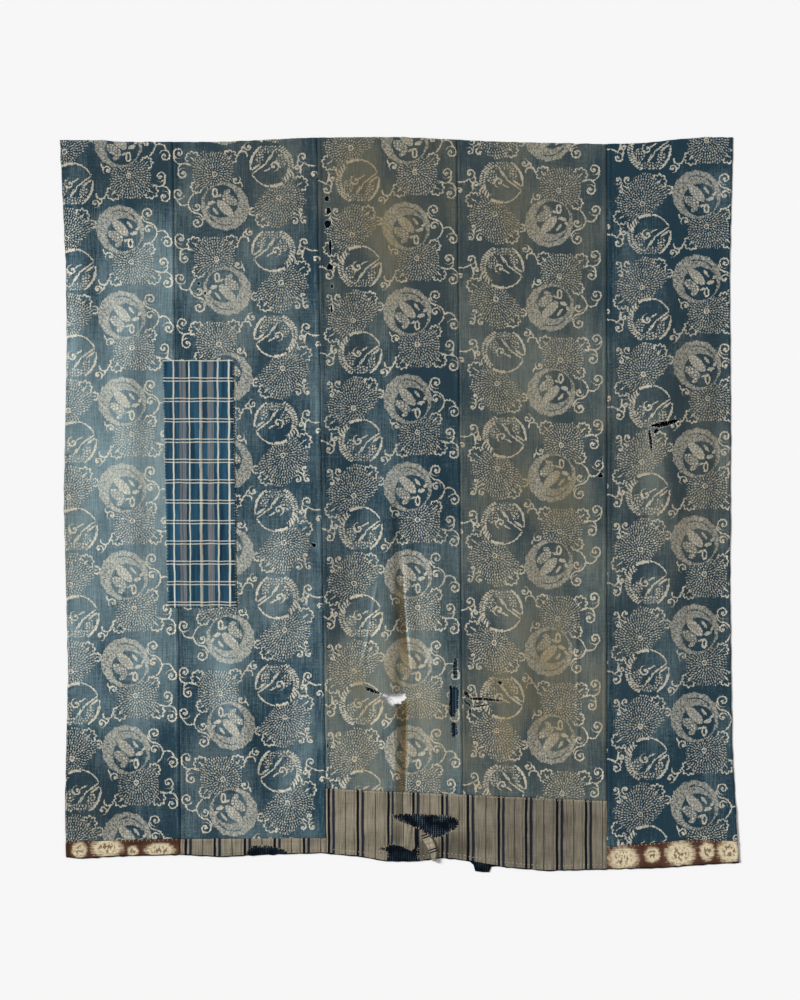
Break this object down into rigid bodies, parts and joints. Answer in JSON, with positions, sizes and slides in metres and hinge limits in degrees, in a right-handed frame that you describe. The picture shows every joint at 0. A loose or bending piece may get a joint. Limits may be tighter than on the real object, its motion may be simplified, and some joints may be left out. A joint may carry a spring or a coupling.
{
  "type": "boro futon cover",
  "caption": "Patched and mended indigo cotton futon cover of stencil-dyed widths sewn edge to edge, lying flat, with striped and ikat hem strips.",
  "frame": {"origin": "middle of the cover's outline, on the surface it lies on", "axes": "+X across the cloth to its right edge, +Y up its length to the top edge, +Z out of its face"},
  "size_m": [1.5618, 1.6904, 0.0097],
  "materials": {
    "stencil_dyed_cotton": "matte",
    "check_cotton": "matte",
    "striped_cotton": "matte",
    "ikat_cotton": "matte",
    "navy_cotton": "matte"
  },
  "bodies": {
    "root": {"panel_1": "stencil_dyed_cotton", "panel_2": "stencil_dyed_cotton", "panel_3": "stencil_dyed_cotton", "panel_4": "stencil_dyed_cotton", "panel_5": "stencil_dyed_cotton", "patch_check": "check_cotton", "band_left": "striped_cotton", "band_right": "striped_cotton", "hem_stripe_left": "striped_cotton", "hem_ikat_left": "ikat_cotton", "hem_ikat_right": "ikat_cotton", "lining_hem": "navy_cotton", "backing_burns": "navy_cotton", "backing_snags": "navy_cotton", "backing_seam_snag": "navy_cotton", "backing_slit": "navy_cotton", "backing_seam_slits": "navy_cotton", "backing_foot_slit": "navy_cotton", "backing_pin_holes": "navy_cotton", "backing_corner_tear": "navy_cotton", "torn_flap": "striped_cotton", "torn_strip": "striped_cotton"}
  },
  "joints": []
}
